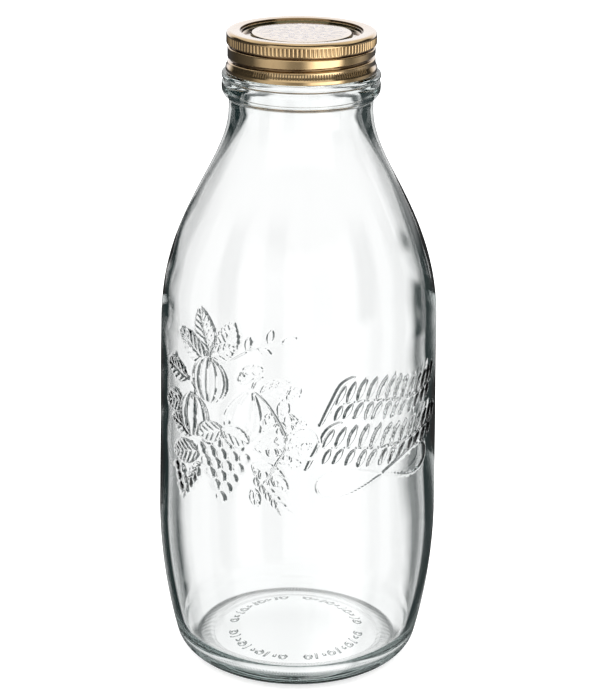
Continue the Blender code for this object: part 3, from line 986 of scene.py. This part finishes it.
def leaf_line(base, degrees, length, half_width, line):
    """The line round a leaf, as an outer and an inner outline."""
    c, s = heading(degrees)
    back = 1.6 * line
    moved = (base[0] + back * c, base[1] + back * s)
    inner = lens(moved, degrees, length - 2 * back, half_width - line)
    return lens(base, degrees, length, half_width), inner


def circle_line(centre, radius, line, count=12):
    """The line round a berry, as an outer and an inner outline."""
    spots = [(math.cos(math.tau * k / count), math.sin(math.tau * k / count)) for k in range(count)]
    return tuple([(centre[0] + x * r, centre[1] + y * r) for x, y in spots] for r in (radius, radius - line))


def drifting(tree, scale, detail, one, other):
    """A noise over the piece, and a colour that drifts with it from one paint to the other."""
    where = add(tree, "ShaderNodeTexCoord")["Object"]
    noise = add(tree, "ShaderNodeTexNoise", wires={"Vector": where, "Scale": scale, "Detail": detail})[0]
    colour = add(tree, "ShaderNodeMix", {"data_type": "RGBA"}, {0: noise, 6: paint(one), 7: paint(other)})
    return noise, colour[2]


# Printing ink under clear varnish: lilac-grey lines that pale where the ink is thin, over about 1 mm
ink, tree = new_material("lilac_grey_ink")
_, shade = drifting(tree, 1000.0, 2.0, "#9c9dab", "#c4bbbd")
ink_shader = add(tree, "ShaderNodeBsdfPrincipled", wires={
    "Base Color": shade, "Roughness": 0.35, "Coat Weight": 0.6, "Coat Roughness": 0.12})
add(tree, "ShaderNodeOutputMaterial", wires={"Surface": ink_shader[0]})
INK_LOW, INK_HIGH = -0.00002, 0.00002
BOLD, FINE = 0.24, 0.22
for name, count, outlines in (
    ("print_outer_leaves", 12,
     (leaf_line((10.6, 0), 58, 6.8, 1.9, BOLD), leaf_line((10.8, 0.3), 4, 5.4, 1.3, FINE))),
    ("print_berries", 12, (circle_line((9.2, 1.2), 0.95, BOLD), circle_line((10.9, -1.9), 0.8, FINE))),
    ("print_inner_leaves", 8,
     (leaf_line((4.4, 0), -56, 5.8, 1.6, BOLD), leaf_line((4.4, 0), 34, 4.4, 1.2, FINE))),
    ("print_middle", 5, (leaf_line((0.9, 0), 12, 3.4, 1.1, FINE),)),
):
    made = ring_of(name, stamp_from(outlines, INK_LOW, INK_HIGH),
                   {"Count": count, "Height": DISC_TOP, "Material": ink})
    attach(made, "lid")

# ---- The sealing ring: a soft grey compound, flowed in under the disc's rim and cured there. The band
# ---- presses it onto the glass, and the rim leaves a shallow seat in it.

ring_low, ring_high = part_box("sealing_ring")
RING_INNER = 0.0219
RING_OUTER = ring_high[0]
RING_ROUND = 0.00025
SEAT_DEPTH = 0.0001
SEAT_ROUND = 0.0002
SEAT_TOP_HALF = 0.0009
SEAT_FLOOR_HALF = 0.0005
# Cured plastisol: a matt warm grey with a faint mottle, about 1.5 mm across
compound, tree = new_material("sealing_compound")
mottle, grey = drifting(tree, 700.0, 3.0, "#d2cdc4", "#e0dcd4")
dimple = add(tree, "ShaderNodeBump", wires={"Strength": 0.2, "Distance": 0.00003, "Height": mottle})[0]
compound_shader = add(tree, "ShaderNodeBsdfPrincipled", wires={
    "Base Color": grey, "Roughness": 0.6, "Normal": dimple, "IOR": 1.5})
add(tree, "ShaderNodeOutputMaterial", wires={"Surface": compound_shader[0]})
ring_bottom, ring_top = ring_low[2], ring_high[2]
seat = (RING_INNER + RING_OUTER) / 2
ring_outline = rounded([
    (seat, ring_top, 0), (RING_INNER, ring_top, RING_ROUND), (RING_INNER, ring_bottom, RING_ROUND),
    (seat - SEAT_TOP_HALF, ring_bottom, SEAT_ROUND),
    (seat - SEAT_FLOOR_HALF, ring_bottom + SEAT_DEPTH, SEAT_ROUND),
    (seat + SEAT_FLOOR_HALF, ring_bottom + SEAT_DEPTH, SEAT_ROUND),
    (seat + SEAT_TOP_HALF, ring_bottom, SEAT_ROUND),
    (RING_OUTER, ring_bottom, RING_ROUND), (RING_OUTER, ring_top, RING_ROUND), (seat + 0.0001, ring_top, 0),
])
seal = turned_piece("seal", lambda angle: ring_outline, 128, compound, sharp=60)
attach(seal, "lid")
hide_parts("sealing_ring")

# ---- The screw band: gold-lacquered tinplate, drawn, then rolled on a mandrel, which leaves the knurled
# ---- grip, the undercut below it, the thread's groove and the hem. Its hole shows the disc.

band_low, band_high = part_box("screw_band")
BAND_TOP = band_high[2]
BAND_BOTTOM = band_low[2]
OPENING_RADIUS = 0.0219
FLANGE_DROOP = 0.00016
LIP_FALL = 0.0008
LIP_LEAN = 0.0001
FLANGE_DROOP_WIDTH = 0.0025
CORNER_RADIUS = 0.0014
KNURL_RADIUS = 0.0268
KNURL_ROOT = 0.02645
KNURL_TOP = RIM + 0.0010
KNURL_BOTTOM = RIM - 0.0021
UNDERCUT_HEIGHT = 0.0009
UNDERCUT_RADIUS = 0.0255
SKIRT_RADIUS = 0.0264
BULGE_RADIUS = band_high[0]
BULGE_TOP = RIM - 0.0106
HEM_ROUND = 0.0004
GROOVE_MIDDLE = RIM - 0.0068
GROOVE_HALF = 0.0009
GROOVE_DEPTH = 0.0009
SWELL_TOP = RIM - 0.0082
SWELL_FALL = 0.0024
# A deeper gold than the disc's, a little less glossy, with painted brown shade in the flutes, the undercut,
# the groove and on the opening's lip
band_gold = lacquered_tinplate("band_gold_lacquer", "#dcbb88", "#7a5c30", 0.15)

flange = rounded([
    (OPENING_RADIUS, BAND_TOP - LIP_FALL, 0), (OPENING_RADIUS + LIP_LEAN, BAND_TOP - FLANGE_DROOP, 0.0001),
    (OPENING_RADIUS + FLANGE_DROOP_WIDTH, BAND_TOP, 0.0006), (KNURL_RADIUS - CORNER_RADIUS, BAND_TOP, 0),
])
corner = (KNURL_RADIUS - CORNER_RADIUS, BAND_TOP - CORNER_RADIUS)
band_face = flange + arc(corner, CORNER_RADIUS, 90, 0, 9)[1:]
KNURL_EDGE = 0.00006
band_face += [(KNURL_RADIUS, KNURL_TOP + KNURL_EDGE), (KNURL_RADIUS - KNURL_EDGE, KNURL_TOP)]
band_face += [(KNURL_ROOT, KNURL_TOP - 0.00002)]
undercut_middle = KNURL_BOTTOM - UNDERCUT_HEIGHT / 2
undercut_foot = KNURL_BOTTOM - UNDERCUT_HEIGHT
UNDERCUT_FLAT_HALF = 0.00015
band_face += rounded([
    (KNURL_ROOT, KNURL_TOP - 0.0006, 0), (KNURL_ROOT, KNURL_BOTTOM, 0.0001),
    (UNDERCUT_RADIUS, undercut_middle + UNDERCUT_FLAT_HALF, 0.0001),
    (UNDERCUT_RADIUS, undercut_middle - UNDERCUT_FLAT_HALF, 0.0001),
    (SKIRT_RADIUS, undercut_foot, 0.00035), (SKIRT_RADIUS, undercut_foot - 0.0006, 0),
])
skirt_top = band_face[-1][1]
SKIRT_STEPS = 44
for step in range(1, SKIRT_STEPS + 1):
    at_height = skirt_top + (BULGE_TOP - skirt_top) * step / SKIRT_STEPS
    swell = min(max((SWELL_TOP - at_height) / SWELL_FALL, 0), 1)
    band_face.append((SKIRT_RADIUS + (BULGE_RADIUS - SKIRT_RADIUS) * ease(swell), at_height))
band_face += [(BULGE_RADIUS, BAND_BOTTOM + 0.0008)]
band_face += arc((BULGE_RADIUS - HEM_ROUND, BAND_BOTTOM + HEM_ROUND), HEM_ROUND, 0, -90, 5)
# Inside, the sheet follows the outside: below the corner it is one sheet further in, and the hem is folded
band_back = []
for radius, at_height in band_face:
    if radius < OPENING_RADIUS + LIP_LEAN * 0.9:
        band_back.append((OPENING_RADIUS + SHEET, at_height))
    elif radius <= KNURL_RADIUS - CORNER_RADIUS + 1e-6 and at_height > BAND_TOP - 0.001:
        band_back.append((max(radius, OPENING_RADIUS + SHEET), at_height - SHEET))
    elif at_height > BAND_TOP - CORNER_RADIUS:
        share = math.atan2(radius - KNURL_RADIUS + CORNER_RADIUS, at_height - BAND_TOP + CORNER_RADIUS)
        band_back.append((radius - SHEET * math.sin(share), at_height - SHEET * math.cos(share)))
    elif at_height > KNURL_BOTTOM:
        band_back.append((min(radius, KNURL_ROOT + 0.0001) - SHEET, at_height))
    elif at_height > BAND_BOTTOM + 0.0009:
        band_back.append((radius - SHEET, at_height))
band_back.append((BULGE_RADIUS - 0.00055, BAND_BOTTOM + 0.0006))
band_back.append((BULGE_RADIUS - HEM_ROUND - 0.00015, BAND_BOTTOM + 0.0002))


def band_outline(angle):
    """The band's outline at this angle, pushed in along the thread's groove."""
    turns, fullness = helix(angle)
    middle_here = GROOVE_MIDDLE + THREAD_PITCH * turns
    outline = []
    for radius, at_height in band_face + band_back[::-1]:
        off = abs(at_height - middle_here) / GROOVE_HALF
        dent = 0.5 + 0.5 * math.cos(math.pi * min(off * 1.05, 1)) if off < 1 else 0
        dent = min(dent * 1.35, 1)
        outline.append((radius - GROOVE_DEPTH * fullness * dent, at_height))
    return outline


def band_recess(spot):
    """How much painted shade the band's opening lip, flutes, undercut and groove get at a place on it, from 0
    to 1.
    """
    radius = math.hypot(spot.x, spot.y)
    if radius < OPENING_RADIUS + LIP_LEAN * 1.5:
        return 0.9
    if spot.z > KNURL_TOP:
        return 0.0
    if spot.z > KNURL_BOTTOM + 0.0001:
        return 0.75
    return min(max((SKIRT_RADIUS - 0.0001 - radius) / 0.0006, 0), 1)


band = turned_piece("rolled_band", band_outline, 360, band_gold, sharp=50)
# Painted shade on the band: darker in its recesses and on the opening's lip
set_recess(band.data, band_recess)
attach(band, "band")
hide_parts("screw_band")

# ---- The knurls: upright ribs rolled into the band's grip, with the flutes between them pressed in. One
# ---- rib is a few faces, and the node tree repeats it round the band.

KNURL_COUNT = 112
RIB_FOOT_HALF = 0.00058
RIB_TOP_HALF = 0.00034
RIB_SINK = 0.0001
RIB_CREST = KNURL_RADIUS - 0.00008
FLUTE_DEPTH = 0.0003
rib_lines = []
shape = bmesh.new()
rib_low, rib_high = KNURL_BOTTOM + 0.00008, KNURL_TOP + 0.0001
for at_height, rise in ((rib_low, 0.0), (rib_low + 0.00018, 0.72), (rib_low + 0.0004, 1.0), (rib_high, 1.0)):
    spots = []
    for side, out in ((-1, 0), (-1, 0.7), (-0.5, 1), (0.5, 1), (1, 0.7), (1, 0)):
        half = RIB_FOOT_HALF + (RIB_TOP_HALF - RIB_FOOT_HALF) * out
        radius = KNURL_ROOT - RIB_SINK + (KNURL_RADIUS - KNURL_ROOT + RIB_SINK) * out * rise
        spots.append(shape.verts.new((radius, side * half, at_height)))
    rib_lines.append(spots)
skin(shape, rib_lines, ends=True)
rib_mesh = mesh_of("rib", shape)
rib_mesh.shade_smooth()
rib_mesh.set_sharp_from_angle(angle=math.radians(60))
# Painted shade: the ribs darken from near their crests down to their roots in the flutes
set_recess(rib_mesh, lambda spot: min(max((RIB_CREST - math.hypot(spot.x, spot.y)) / FLUTE_DEPTH, 0), 1))
knurls = ring_of("knurl_ribs", rib_mesh, {"Count": KNURL_COUNT, "Height": 0.0, "Material": band_gold})
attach(knurls, "band")

# ---- The marks on the band: a row of plain dark strokes of uneven length, printed below the groove round
# ---- the front of the band, where a maker's line would be.

# Stamped ink, semi-matt: nearly black strokes, worn brown in flecks about 0.4 mm across
mark_ink, tree = new_material("brown_black_ink")
_, brown = drifting(tree, 2500.0, 2.0, "#2e2413", "#6b5530")
mark_shader = add(tree, "ShaderNodeBsdfPrincipled", wires={"Base Color": brown, "Roughness": 0.4})
add(tree, "ShaderNodeOutputMaterial", wires={"Surface": mark_shader[0]})
MARK_MIDDLE = RIM - 0.0089
MARK_HEIGHT = 0.0022
MARK_HALF = 0.00023
MARK_SINK = 0.0001
MARK_PROUD = 0.00008
MARK_LINES = 6
MARK_COUNT = 46
MARKS_START = -128
MARKS_SWEEP = 98


def band_radius_at(at_height):
    """The radius of the band's skirt at a height, away from the groove."""
    spots = [spot for spot in band_face if spot[1] < skirt_top]
    return float(np.interp(-at_height, [-spot[1] for spot in spots], [spot[0] for spot in spots]))


shape = bmesh.new()
mark_lines = []
for k in range(MARK_LINES):
    at_height = (k / (MARK_LINES - 1) - 0.5) * MARK_HEIGHT
    radius = band_radius_at(MARK_MIDDLE + at_height)
    mark_lines.append([
        shape.verts.new((radius + out, side * MARK_HALF, at_height))
        for side, out in ((-1, -MARK_SINK), (-1, MARK_PROUD), (1, MARK_PROUD), (1, -MARK_SINK))])
skin(shape, mark_lines, ends=True)
marks = ring_of("band_marks", mesh_of("mark", shape), {
    "Count": MARK_COUNT, "Height": MARK_MIDDLE, "Start": math.radians(MARKS_START),
    "Sweep": math.radians(MARKS_SWEEP), "Size Spread": 0.3, "Seed": 11, "Material": mark_ink})
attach(marks, "band")
